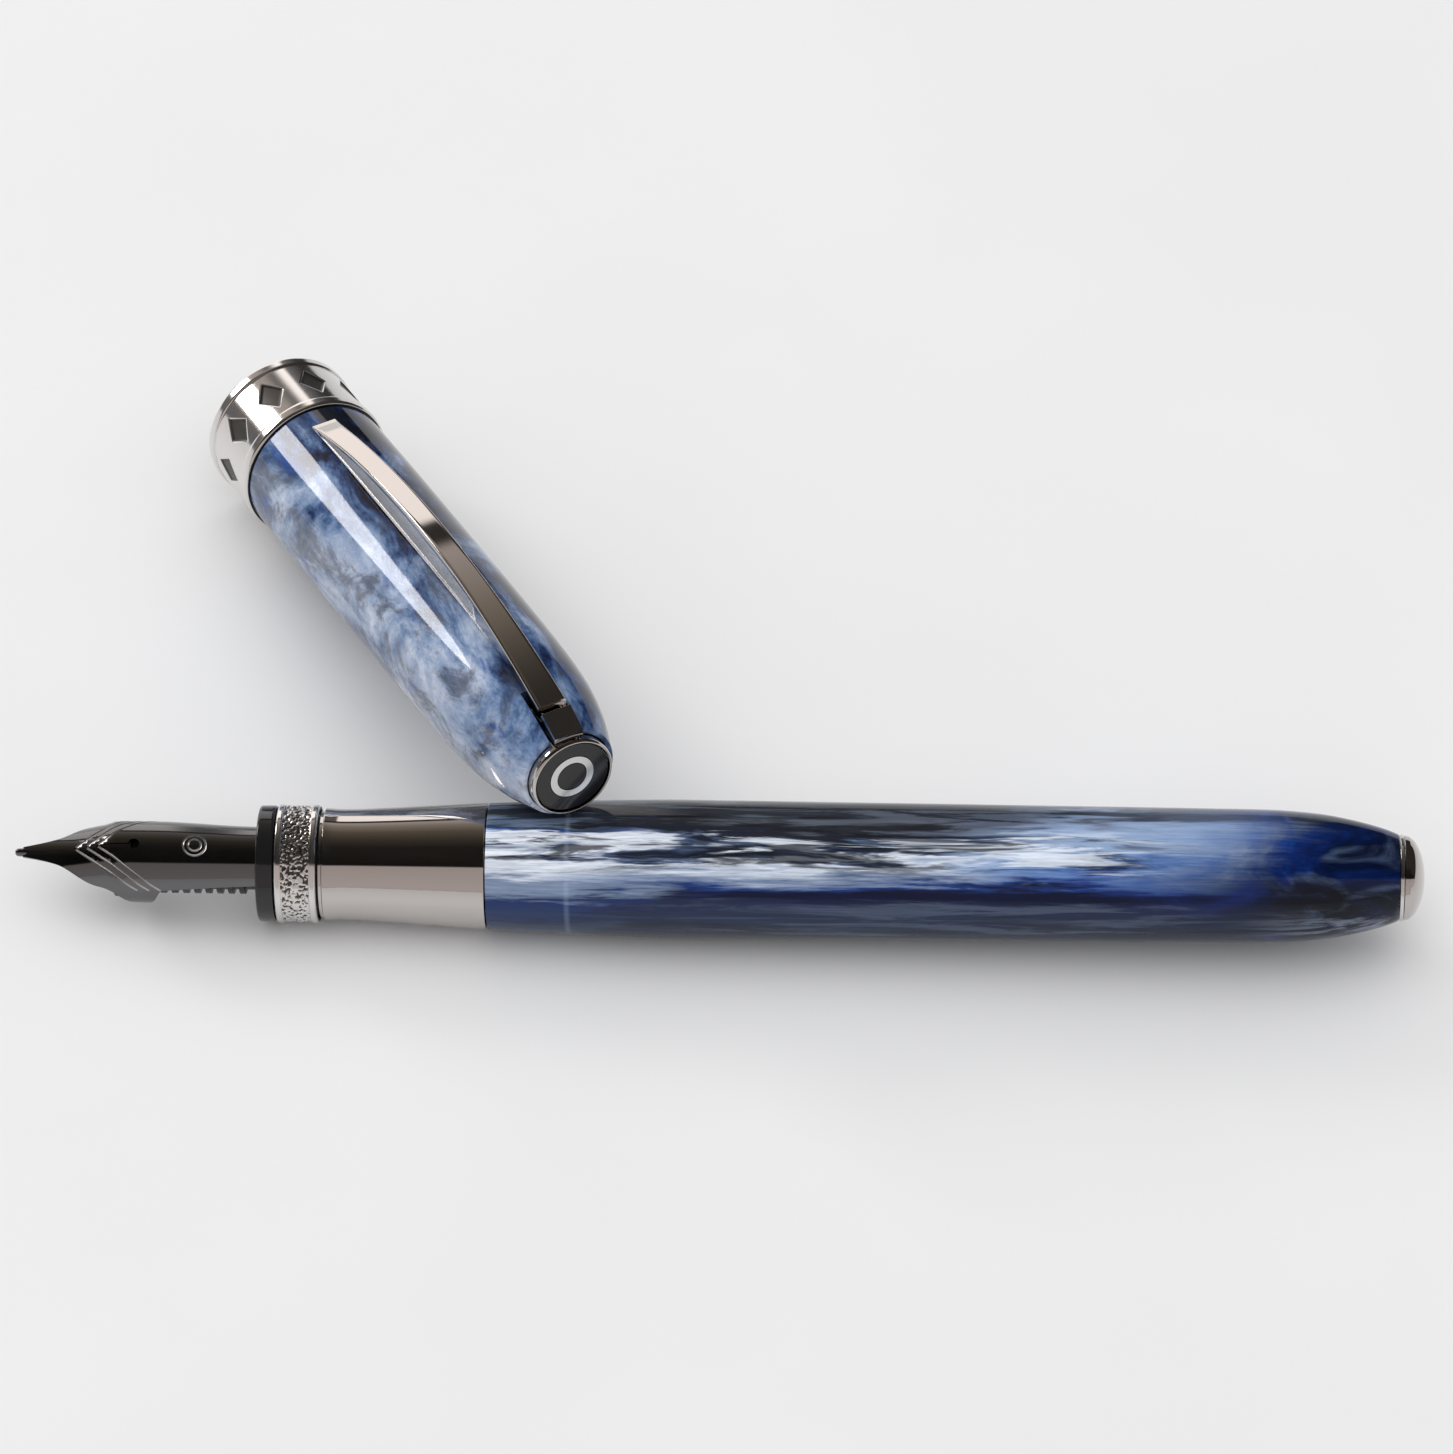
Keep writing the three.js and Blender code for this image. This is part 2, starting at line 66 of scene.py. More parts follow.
MM = 0.001
RECORD = frame["record"]
JOINTS = {joint["name"]: joint for joint in frame["joints"]}
SLOT_OF = {part["node"]: part["material_slot"] for part in RECORD["subparts"]}
BODY_OF = {node: body for body, nodes in RECORD["behaviour"]["bodies"].items() for node in nodes}

# ---- Driving dimensions, in mm ----

JOINT_STATION = 43.7  # where the metal grip meets the barrel, from the nib's tip
BARREL_R = 6.37
NIB_ROLL = math.radians(14)
NIB_SHEET = 0.35
BREATHER = {"along": 11.2, "radius": 0.52}
CLIP_TIP, CLIP_END = 11.4, 59.1
CLIP_RISE = 3.8
TRIM_FIELD_R = 5.35  # the trim ring's surface between its rims
BAND_FIELD_R = 7.35  # the cap band's surface between its rims
LAYER_TILT = math.radians(48.45)  # how the resin's layers are turned about the barrel's axis


# ---- Frames ----

def frame_of(origin, x_axis, y_axis):
    """The matrix of a frame with its origin in metres and its X and Y along the given directions."""
    x = Vector(x_axis).normalized()
    z = x.cross(Vector(y_axis)).normalized()
    rotation = Matrix((x, z.cross(x), z)).transposed()
    return Matrix.Translation(origin) @ rotation.to_4x4()


def pen_frame():
    axis = Vector(JOINTS["barrel_turn"]["axis"])
    tip = Vector(JOINTS["barrel_turn"]["pos_m"]) - axis * JOINT_STATION * MM
    return frame_of(tip, axis, (0, 1, 0))


def cap_frame():
    """The mouth's centre is midway between the lowest and highest corners of the band's open end."""
    axis = Vector(JOINTS["finial_pull"]["axis"]).normalized()
    across = Vector(JOINTS["clip_open"]["axis"])
    turned_so = frame_of((0, 0, 0), axis, across)
    ring = [turned_so.inverted() @ vertex.co for vertex in frame["nodes"]["cap_band"].data.vertices]
    mouth = min(point.x for point in ring)
    middle = [(min(p[k] for p in ring) + max(p[k] for p in ring)) / 2 for k in (1, 2)]
    return frame_of(turned_so @ Vector((mouth, *middle)), axis, across)


PEN = pen_frame()
NIB = PEN @ Matrix.Rotation(NIB_ROLL, 4, "X")
CAP = cap_frame()
NIB_NODES = ("nib", "nib_tipping", "ink_feed", "nib_housing")


def place_of(node):
    if node in NIB_NODES:
        return NIB
    return CAP if BODY_OF[node] in ("cap", "clip", "finial") else PEN


# ---- Camera, lights and floor ----

def make_camera():
    """A long lens from the front, looking down at the pen."""
    elevation, turn, roll = (math.radians(a) for a in (48.45, 1.81, 0.26))
    target, distance = Vector((0.16, -8.07, 6.0)) * MM, 0.7044
    ahead = Vector((
        -math.sin(turn) * math.cos(elevation),
        math.cos(turn) * math.cos(elevation),
        -math.sin(elevation),
    ))
    level = ahead.cross(Vector((0, 0, 1))).normalized()
    rise = level.cross(ahead)
    right = level * math.cos(roll) + rise * math.sin(roll)
    up = rise * math.cos(roll) - level * math.sin(roll)
    camera = bpy.data.objects.new("camera", bpy.data.cameras.new("camera"))
    camera.data.lens = 185.7
    camera.data.sensor_width = 36
    turned_so = Matrix((right, up, -ahead)).transposed().to_4x4()
    camera.matrix_world = Matrix.Translation(target - ahead * distance) @ turned_so
    bpy.context.scene.collection.objects.link(camera)
    bpy.context.scene.camera = camera


def make_window():
    """A small bright window behind the pen and to its left, which lays a pale stripe along the cap."""
    turn, rise, distance = math.radians(55.0), math.radians(24.0), 1.2
    away = Vector((-math.sin(turn) * math.cos(rise), math.cos(turn) * math.cos(rise), math.sin(rise)))
    light = bpy.data.lights.new("window", "AREA")
    light.shape = "RECTANGLE"
    light.size, light.size_y = 0.37, 0.29
    light.energy = 3.4
    light.color = (1.0, 0.98, 0.96)
    window = bpy.data.objects.new("window", light)
    window.location = away * distance
    window.rotation_mode = "QUATERNION"
    window.rotation_quaternion = away.to_track_quat("Z", "Y")
    bpy.context.scene.collection.objects.link(window)


def make_world():
    """A room. Gloss and metal reflect walls and ceiling, in a band from behind the pen over it to the front,
    with a bright doorway behind it on the left. Everything else gets soft light, most of it from above."""
    room = Shader("room", world=True)
    direction = room.node("TexCoord").outputs["Generated"]
    x, y, z = room.node("SeparateXYZ", {0: direction}).outputs
    height = room.math("DIVIDE", room.math("ARCTAN2", z, y), math.pi)
    walls = room.ramp(
        height,
        (0.02, (0.12, 0.125, 0.14)),
        (0.16, (0.15, 0.14, 0.135)),
        (0.17, (0.04, 0.037, 0.034)),
        (0.19, (0.04, 0.037, 0.034)),
        (0.20, (0.50, 0.44, 0.41)),
        (0.26, (0.28, 0.24, 0.20)),
        (0.34, (0.13, 0.11, 0.085)),
        (0.43, (0.06, 0.050, 0.038)),
        (0.53, (0.016, 0.014, 0.012)),
        (0.735, (0.010, 0.009, 0.008)),
        (0.748, (0.50, 0.44, 0.42)),
        (0.96, (0.58, 0.52, 0.50)),
    )
    leftward = room.math("DIVIDE", room.product(x, -1.0), y)
    doorway = room.product(
        room.mask(leftward, 0.05, 0.09),
        room.mask(leftward, 0.95, 0.85),
        room.mask(height, 0.170, 0.160),
        room.math("GREATER_THAN", y, 0.0),
    )
    walls = room.mix(doorway, walls, (1.45, 1.36, 1.30, 1))
    far_corner = room.product(room.mask(x, -0.02, 0.16), room.mask(height, 0.62, 0.52))
    walls = room.mix(far_corner, walls, (0.035, 0.031, 0.028, 1))
    soft = room.ramp(room.product(z, z), (0.0, (0.22, 0.22, 0.23)), (1.0, (1.66, 1.66, 1.67)))
    soft = room.scaled(soft, room.math("SUBTRACT", 1.0, room.product(y, 0.2)))
    seen_in_gloss = room.node("LightPath").outputs["Is Glossy Ray"]
    room.put(room.surface, "Color", room.mix(seen_in_gloss, soft, walls))


def make_floor():
    bpy.ops.mesh.primitive_grid_add(x_subdivisions=8, y_subdivisions=8, size=4)
    floor = bpy.context.object
    floor.name = "table"
    stone = Shader("pale_stone", {"Roughness": 0.45, "Specular IOR Level": 0.3})
    cloud = stone.noise(stone.position(0.02, 0.02), 1.0, detail=3)
    stone.put(stone.surface, "Base Color", stone.ramp(cloud, (0.3, (0.83,) * 3), (0.7, (0.86,) * 3)))
    floor.data.materials.append(stone.material)
    floor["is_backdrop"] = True


# ---- Materials ----

def paint(red, green, blue):
    """A colour given as it shows on a screen, 0 to 255, as the linear colour that a shader takes."""
    def linear(value):
        share = value / 255
        return share / 12.92 if share <= 0.04045 else ((share + 0.055) / 1.055) ** 2.4
    return (linear(red), linear(green), linear(blue))


class Shader:
    """A material's or the world's nodes. Values may be numbers, colours or the outputs of other nodes."""

    def __init__(self, name, settings=None, world=False):
        owner = bpy.data.worlds.new(name) if world else bpy.data.materials.new(name)
        owner.use_nodes = True
        self.tree = owner.node_tree
        self.material = owner
        self.surface = self.tree.nodes["Background" if world else "Principled BSDF"]
        for socket, value in (settings or {}).items():
            self.put(self.surface, socket, value)
        if world:
            bpy.context.scene.world = owner

    def put(self, node, socket, value):
        if isinstance(value, bpy.types.NodeSocket):
            self.tree.links.new(value, node.inputs[socket])
            return
        if isinstance(value, tuple) and len(value) == 3 and node.inputs[socket].type == "RGBA":
            value = (*value, 1)
        node.inputs[socket].default_value = value

    def node(self, kind, inputs=None, **properties):
        made = self.tree.nodes.new("ShaderNode" + kind)
        for key, value in properties.items():
            setattr(made, key, value)
        for socket, value in (inputs or {}).items():
            self.put(made, socket, value)
        return made

    def math(self, operation, *values):
        return self.node("Math", dict(enumerate(values)), operation=operation).outputs[0]

    def product(self, first, *others):
        for value in others:
            first = self.math("MULTIPLY", first, value)
        return first

    def total(self, first, *others):
        for value in others:
            first = self.math("ADD", first, value)
        return first

    def place(self):
        """Where the point is in the piece's own frame, in mm, as X, Y and Z."""
        here = self.node("TexCoord").outputs["Object"]
        scaled = self.node("VectorMath", {0: here, "Scale": 1 / MM}, operation="SCALE")
        return self.node("SeparateXYZ", {0: scaled.outputs[0]}).outputs

    def position(self, along, across):
        """The piece's own coordinates in mm, with X multiplied by along, and Y and Z by across."""
        here = self.node("TexCoord").outputs["Object"]
        scale = (along / MM, across / MM, across / MM)
        return self.node("VectorMath", {0: here, 1: scale}, operation="MULTIPLY").outputs[0]

    def noise(self, vector, scale, detail=3.0, roughness=0.5, distortion=0.0):
        inputs = {
            "Vector": vector, "Scale": scale, "Detail": detail,
            "Roughness": roughness, "Distortion": distortion,
        }
        return self.node("TexNoise", inputs).outputs[0]

    def ramp(self, factor, *stops, smooth=False):
        node = self.node("ValToRGB", {0: factor})
        node.color_ramp.interpolation = "EASE" if smooth else "LINEAR"
        elements = node.color_ramp.elements
        while len(elements) < len(stops):
            elements.new(0.5)
        for element, (position, colour) in zip(elements, stops):
            element.position = position
            element.color = (*colour, 1)
        return node.outputs[0]

    def mix(self, factor, first, second):
        node = self.node("Mix", data_type="RGBA")
        for socket, value in ((0, factor), (6, first), (7, second)):
            self.put(node, socket, value)
        return node.outputs[2]

    def tint(self, colour, share, strength, other):
        """A colour with another laid over it at the given strength, as far as share goes from 0 to 1."""
        return self.mix(self.product(share, strength), colour, other)

    def scaled(self, colour, factor):
        """A colour multiplied by a number."""
        return self.node("VectorMath", {0: colour, "Scale": factor}, operation="SCALE").outputs[0]

    def mask(self, value, start, end):
        """Goes smoothly from 0 where value is start to 1 where it is end."""
        inputs = {"Value": value, "From Min": start, "From Max": end}
        return self.node("MapRange", inputs, interpolation_type="SMOOTHSTEP").outputs[0]

    def drift(self, value, amount):
        """A noise value from 0 to 1 as a shift from -amount/2 to +amount/2."""
        return self.product(self.math("SUBTRACT", value, 0.5), amount)

    def bump(self, height, distance_mm, strength=1.0):
        inputs = {"Height": height, "Distance": distance_mm * MM, "Strength": strength}
        self.put(self.surface, "Normal", self.node("Bump", inputs).outputs[0])


CAP_GLOSS = {"Roughness": 0.05, "IOR": 1.5}
BARREL_GLOSS = {"Roughness": 0.08, "IOR": 1.33}


def resin(red, green, blue):
    """A resin's own colour, from how it shows in the room: less the sheen over it, and a little lighter."""
    sheen, light = 0.014, 0.88
    return tuple((channel - min(sheen, 0.45 * channel)) / light for channel in paint(red, green, blue))


def layered_colours(s, x, layer, grain):
    """The resin's long layers from one side of the barrel to the other, in three stretches along it."""
    sway = s.total(s.drift(grain["broad"], 6.0), s.drift(grain["middling"], 13.0))
    moved = s.total(layer, s.product(sway, s.mask(layer, -3.4, 1.2)))
    moved = s.total(moved, s.drift(grain["fine"], 4.4), s.drift(grain["hair"], 1.2))
    level = s.total(s.product(moved, 0.5 / BARREL_R), 0.5)
    front = s.ramp(
        level,
        (0.02, resin(66, 74, 90)), (0.14, resin(56, 70, 102)), (0.25, resin(38, 58, 106)),
        (0.33, resin(122, 138, 162)), (0.46, resin(130, 144, 170)), (0.53, resin(206, 214, 226)),
        (0.62, resin(230, 234, 242)), (0.67, resin(56, 84, 140)), (0.72, resin(52, 62, 80)),
        (0.80, resin(94, 108, 130)), (0.90, resin(108, 122, 144)), (1.0, resin(92, 101, 114)),
    )
    middle = s.ramp(
        level,
        (0.02, resin(50, 55, 66)), (0.16, resin(50, 60, 84)), (0.27, resin(36, 50, 80)),
        (0.31, resin(12, 24, 60)), (0.39, resin(42, 68, 124)), (0.47, resin(126, 142, 170)),
        (0.56, resin(176, 188, 208)), (0.64, resin(218, 224, 234)), (0.69, resin(84, 98, 124)),
        (0.76, resin(44, 50, 60)), (0.88, resin(48, 50, 56)), (1.0, resin(82, 88, 98)),
    )
    rear = s.ramp(
        level,
        (0.02, resin(50, 56, 70)), (0.18, resin(44, 54, 77)), (0.27, resin(34, 48, 78)),
        (0.305, resin(5, 18, 48)), (0.37, resin(34, 60, 118)), (0.46, resin(90, 118, 172)),
        (0.56, resin(118, 146, 192)), (0.68, resin(150, 170, 200)), (0.86, resin(132, 152, 184)),
        (0.94, resin(112, 124, 146)), (1.0, resin(84, 92, 108)),
    )
    shifted = s.total(x, s.drift(grain["middling"], 40), s.drift(grain["fine"], 24))
    colour = s.mix(s.mask(shifted, 52, 57), front, middle)
    return s.mix(s.mask(shifted, 86, 95), colour, rear)


def streaked(s, colour, x, layer, fine):
    """Slate streaks and a navy line under the barrel's middle, and charcoal and white clouds over it."""
    streak = s.noise(s.position(0.055, 0.75), 1.0, detail=5, roughness=0.62, distortion=0.9)
    lower = s.product(s.mask(layer, -1.8, -2.8), s.mask(x, 52, 70))
    colour = s.tint(colour, s.product(s.mask(streak, 0.50, 0.64), lower), 0.7, resin(84, 94, 114))
    colour = s.tint(colour, s.product(s.mask(streak, 0.47, 0.36), lower), 0.7, resin(24, 34, 62))
    off_line = s.math("ABSOLUTE", s.total(layer, 2.2, s.drift(fine, 0.7)))
    line = s.product(s.mask(off_line, 0.50, 0.14), s.mask(x, 57, 68))
    navy = (0.0, 0.004, 0.032)
    colour = s.tint(colour, line, 0.95, navy)

    smoke = s.noise(s.position(0.045, 0.50), 1.5, detail=5, roughness=0.62, distortion=0.7)
    charcoal = s.product(s.mask(smoke, 0.48, 0.57), s.mask(layer, -0.8, 0.8), s.mask(x, 112, 98))
    colour = s.tint(colour, charcoal, 0.85, resin(38, 40, 48))
    milk = s.noise(s.position(0.040, 0.60), 1.3, detail=5, roughness=0.62, distortion=0.8)
    across = s.product(s.mask(layer, -1.2, 0.2), s.mask(layer, 4.4, 2.8))
    white = s.product(s.mask(milk, 0.53, 0.62), across, s.mask(x, 112, 96))
    return s.tint(colour, white, 0.8, resin(222, 230, 240))


def swirled_tail(s, colour, x, layer, grain):
    """The deep blue tail, with a pale wisp round it and grey flecks along its underside."""
    swirl = s.noise(s.position(0.10, 0.17), 1.0, detail=6, roughness=0.58, distortion=0.9)
    lit = s.total(swirl, s.product(s.mask(layer, 0.2, 4.2), s.mask(x, 120, 104), 0.32))
    deep = s.total(s.product(s.mask(layer, 0.0, -2.6), 0.12), s.product(s.mask(x, 110, 122), 0.14))
    tail = s.ramp(
        s.math("SUBTRACT", lit, deep),
        (0.26, resin(9, 17, 34)), (0.40, resin(12, 28, 60)), (0.50, resin(18, 46, 94)),
        (0.60, resin(32, 66, 124)), (0.80, resin(88, 116, 166)), (1.0, resin(118, 144, 188)),
    )
    off_centre = s.math("ABSOLUTE", s.total(layer, 0.6))
    tail_end = s.total(x, s.drift(swirl, 26), s.drift(grain["fine"], 16))
    tail_end = s.math("SUBTRACT", tail_end, s.product(off_centre, 1.5))
    colour = s.mix(s.mask(tail_end, 97, 117), colour, tail)
    curl = s.noise(s.position(0.10, 0.17), 1.0, detail=1.5, distortion=1.2)
    vein = s.mask(s.math("ABSOLUTE", s.drift(curl, 2)), 0.14, 0.0)
    wisp = s.product(vein, s.mask(x, 114, 120), s.mask(swirl, 0.44, 0.62))
    colour = s.tint(colour, wisp, 0.5, resin(100, 118, 146))
    under = s.product(s.mask(layer, -2.6, -4.6), s.mask(x, 110, 124))
    return s.tint(colour, s.mask(grain["fine"], 0.42, 0.60), under, resin(112, 120, 136))


def barrel_resin():
    """Cast resin with its colours in long layers along the barrel, which break up into swirls at the tail."""
    s = Shader("barrel_resin", BARREL_GLOSS)
    x, y, z = s.place()
    layer = s.total(s.product(y, math.sin(LAYER_TILT)), s.product(z, math.cos(LAYER_TILT)))
    grain = {
        "broad": s.noise(s.position(0.022, 0.10), 1.0, detail=2),
        "middling": s.noise(s.position(0.055, 0.42), 1.0, detail=4, roughness=0.6, distortion=0.5),
        "fine": s.noise(s.position(0.07, 1.2), 1.0, detail=6, roughness=0.64, distortion=0.4),
        "hair": s.noise(s.position(0.25, 4.2), 1.0, detail=4, roughness=0.7),
    }
    colour = layered_colours(s, x, layer, grain)
    colour = streaked(s, colour, x, layer, grain["fine"])
    colour = swirled_tail(s, colour, x, layer, grain)
    # A painted highlight: a thin pale ring where the barrel's taper ends, standing for the light that a slight
    # ridge there catches.
    painted_ridge_highlight = s.product(s.mask(x, 50.9, 51.3), s.mask(x, 51.7, 51.3))
    colour = s.tint(colour, painted_ridge_highlight, 0.12, resin(190, 210, 236))
    shade = s.total(s.product(s.total(grain["hair"], grain["fine"]), 0.88), 0.12)
    s.put(s.surface, "Base Color", s.scaled(colour, shade))
    return s.material


def cap_resin():
    """The same resin cut across its layers: pale clouds on one side, charcoal and cobalt on the other."""
    s = Shader("cap_resin", CAP_GLOSS)
    x, y, z = s.place()
    cloud = s.noise(s.position(0.10, 0.17), 1.0, detail=7, roughness=0.62, distortion=0.9)
    patch = s.noise(s.position(0.12, 0.20), 1.0, detail=6, roughness=0.66, distortion=0.7)
    mottle = s.noise(s.position(0.6, 1.1), 1.0, detail=5, roughness=0.7)
    side = s.product(s.math("SUBTRACT", y, s.product(z, 0.15)), 0.036)
    paler_to_head = s.product(s.math("SUBTRACT", x, 36.0), 0.0055)
    level = s.total(s.math("SUBTRACT", 0.40, side), s.drift(cloud, 1.8), s.drift(mottle, 0.5), paler_to_head)
    colour = s.ramp(
        level,
        (0.12, resin(20, 26, 40)), (0.28, resin(42, 58, 90)), (0.42, resin(76, 98, 134)),
        (0.56, resin(118, 138, 170)), (0.72, resin(156, 170, 194)), (0.92, resin(196, 204, 220)),
    )
    charcoal = s.mask(s.total(patch, s.drift(mottle, 0.35)), 0.47, 0.62)
    colour = s.tint(colour, charcoal, 0.72, resin(62, 65, 78))
    cobalt = s.mask(s.noise(s.position(0.12, 0.32), 1.0, detail=4, distortion=0.8), 0.60, 0.68)
    colour = s.tint(colour, cobalt, 0.6, resin(52, 78, 146))
    flake = s.noise(s.position(2.4, 3.0), 1.0, detail=4, roughness=0.8)
    s.put(s.surface, "Base Color", s.scaled(colour, s.total(s.product(flake, 0.60), 0.70)))
    return s.material


def polished(name, colour, roughness, smear=0.04):
    """Polished metal with faint wiping marks in its gloss."""
    s = Shader(name, {"Metallic": 1.0, "Base Color": colour})
    haze = s.noise(s.position(0.25, 0.5), 1.0, detail=4)
    s.put(s.surface, "Roughness", s.total(s.product(haze, smear), roughness))
    return s.material


def etched_metal():
    """Bright metal, darkened where its surface is sunk under the trim ring's or the cap band's radius."""
    s = Shader("textured_metal", {"Metallic": 1.0})
    x, y, z = s.place()
    radius = s.math("SQRT", s.total(s.product(y, y), s.product(z, z)))
    on_section = s.mask(radius, 6.2, 6.0)
    field_radius = s.math("SUBTRACT", BAND_FIELD_R, s.product(on_section, BAND_FIELD_R - TRIM_FIELD_R))
    depth = s.math("SUBTRACT", field_radius, radius)
    dark = s.product(s.mask(depth, 0.015, 0.07), s.mask(depth, 0.4, 0.3))
    s.put(s.surface, "Base Color", s.mix(dark, (0.72, 0.70, 0.685), (0.09, 0.084, 0.08)))
    s.put(s.surface, "Roughness", s.total(s.product(dark, 0.3), 0.13))
    return s.material


def moulded(name, colour, roughness, grain_mm=0.01):
    """Plastic or rubber with a slight moulded grain."""
    s = Shader(name)
    cloud = s.noise(s.position(0.4, 0.4), 1.0, detail=3)
    darker = tuple(0.8 * channel for channel in colour)
    s.put(s.surface, "Base Color", s.mix(cloud, darker, colour))
    s.put(s.surface, "Roughness", s.total(s.product(cloud, 0.05), roughness))
    s.bump(s.noise(s.position(4, 4), 1.0, detail=2), grain_mm, 0.3)
    return s.material


def clear_plastic():
    """The converter's tube: clear, with a film of blue ink on the inside."""
    s = Shader("clear_plastic", {"Roughness": 0.05, "IOR": 1.49, "Transmission Weight": 0.9})
    film = s.noise(s.position(0.08, 0.4), 1.0, detail=4, distortion=1.0)
    s.put(s.surface, "Base Color", s.ramp(film, (0.4, (0.93, 0.95, 0.97)), (0.7, (0.62, 0.72, 0.90))))
    return s.material


def clip_etch():
    """The fine, matt field along the clip's sides."""
    s = Shader("etched_field", {"Metallic": 1.0, "Roughness": 0.42})
    grain = s.noise(s.position(6, 6), 1.0, detail=3)
    metal = s.ramp(grain, (0.35, (0.46, 0.46, 0.47)), (0.65, (0.66, 0.66, 0.67)))
    s.put(s.surface, "Base Color", metal)
    s.bump(grain, 0.02, 0.5)
    return s.material


MATERIALS = {
    "barrel_resin": barrel_resin(),
    "cap_resin": cap_resin(),
    "gunmetal": polished("gunmetal", (0.56, 0.53, 0.51), 0.03),
    "textured_metal": etched_metal(),
    "steel": polished("steel", (0.70, 0.69, 0.68), 0.10),
    "nib_metal": polished("nib_metal", (0.15, 0.151, 0.155), 0.08),
    "black_gloss": moulded("black_gloss", (0.012, 0.012, 0.013), 0.07, 0.002),
    "feed_plastic": moulded("feed_plastic", (0.016, 0.016, 0.017), 0.32),
    "clear_plastic": clear_plastic(),
    "liner_plastic": moulded("liner_plastic", (0.035, 0.035, 0.04), 0.35),
    "rubber": moulded("rubber", (0.02, 0.02, 0.021), 0.6, 0.03),
    "brass": polished("brass", (0.72, 0.50, 0.24), 0.22),
    "magnet": polished("magnet", (0.52, 0.52, 0.54), 0.28),
}


# ---- Outlines ----

def meridian(node):
    """A turned CAD node's outline, as (distance along X, radius) points in mm, read along its underside."""
    mesh = frame["nodes"][node].data
    local = place_of(node).inverted()
    points = [(local @ vertex.co) / MM for vertex in mesh.vertices]
    radii = [math.hypot(p.y, p.z) for p in points]
    angles = [math.atan2(p.y, -p.z) for p in points]
    first = min(a for a, r in zip(angles, radii) if r > 0.05 and a > 1e-3)
    keys = {}
    for index, (point, radius, angle) in enumerate(zip(points, radii, angles)):
        if radius < 0.01:
            keys[index] = (round(point.x, 3), 0.0)
        elif abs(angle - first) < 0.01:
            keys[index] = (round(point.x, 3), round(radius, 3))
    links = {key: set() for key in keys.values() if key[1] > 0}

    def link(a, b):
        links.setdefault(a, set()).add(b)
        links.setdefault(b, set()).add(a)

    for edge in mesh.edges:
        a, b = (keys.get(v) for v in edge.vertices)
        if a and b and a != b and (a[1] > 0 or b[1] > 0):
            link(a, b)
    loose = sorted(key for key in links if key[1] > 0 and len(links[key]) < 2)
    for a, b in zip(loose, loose[1:]):
        if a[0] == b[0]:
            link(a, b)
    for key in loose:
        if len(links[key]) < 2:
            link(key, (key[0], 0.0))
    start = min((key for key in links if key[1] == 0), default=min(links))
    outline = [start]
    while True:
        onward = [key for key in sorted(links[outline[-1]]) if key not in outline]
        if not onward:
            return [Vector(key) for key in outline]
        outline.append(onward[0])


def refined(outline, edge=0.12, spacing=0.5, corner=math.radians(25)):
    """An outline with its sharp corners rounded by edge mm, and curved smoothly through its shallow ones."""
    closed = outline[0].y > 0
    count = len(outline)
    steps = [outline[(i + 1) % count] - outline[i] for i in range(count)]
    tangents = []
    for i in range(count):
        before, after = steps[i - 1], steps[i]
        inside = closed or 0 < i < count - 1
        shallow = inside and before.angle(after) < corner
        tangents.append((before + after).normalized() if shallow else None)
    curved = []
    for i in range(count if closed else count - 1):
        curved.append((outline[i], tangents[i] is None and (closed or i > 0)))
        start, step, end = outline[i], steps[i], outline[(i + 1) % count]
        leave, arrive = tangents[i], tangents[(i + 1) % count]
        if leave is None and arrive is None:
            continue
        leave = leave * step.length if leave else None
        arrive = arrive * step.length if arrive else None
        leave = leave or (step * 3 - arrive) / 2
        arrive = arrive or (step * 3 - leave) / 2
        pieces = max(2, math.ceil(step.length / spacing))
        for k in range(1, pieces):
            t = k / pieces
            curved.append((
                start * (2 * t**3 - 3 * t**2 + 1) + leave * (t**3 - 2 * t**2 + t)
                + end * (3 * t**2 - 2 * t**3) + arrive * (t**3 - t**2),
                False,
            ))
    if not closed:
        curved.append((outline[-1], False))
    rounded = []
    for i, (point, sharp) in enumerate(curved):
        if not sharp:
            rounded.append(point)
            continue
        sides = [curved[i - 1][0] - point, curved[(i + 1) % len(curved)][0] - point]
        cuts = [side.normalized() * min(edge, 0.36 * side.length) for side in sides]
        rounded.append(point + cuts[0] * 1.25)
        for k in range(5):
            t = k / 4
            rounded.append(point + cuts[0] * (1 - t) ** 2 + cuts[1] * t**2)
        rounded.append(point + cuts[1] * 1.25)
    return rounded


def divided(outline, step, keep):
    """An outline with a point at least every step mm where keep(point) holds at both ends of a stretch."""
    closed = outline[0].y > 0
    made = []
    for i, point in enumerate(outline):
        made.append(point)
        if i == len(outline) - 1 and not closed:
            break
        after = outline[(i + 1) % len(outline)]
        if keep(point) and keep(after):
            pieces = math.ceil((after - point).length / step)
            made.extend(point.lerp(after, k / pieces) for k in range(1, pieces))
    return made


# ---- Making pieces ----

def add_piece(name, mesh, place, materials):
    mesh.update()
    mesh.shade_smooth()
    for material in materials:
        mesh.materials.append(material)
    made = bpy.data.objects.new(name, mesh)
    made.matrix_world = place
    bpy.context.scene.collection.objects.link(made)
    return made


def mesh_of(name, points, faces):
    """A mesh from points in mm, with its faces turned outwards."""
    mesh = bpy.data.meshes.new(name)
    mesh.from_pydata([Vector(p) * MM for p in points], [], faces)
    work = bmesh.new()
    work.from_mesh(mesh)
    bmesh.ops.recalc_face_normals(work, faces=work.faces)
    work.to_mesh(mesh)
    work.free()
    return mesh


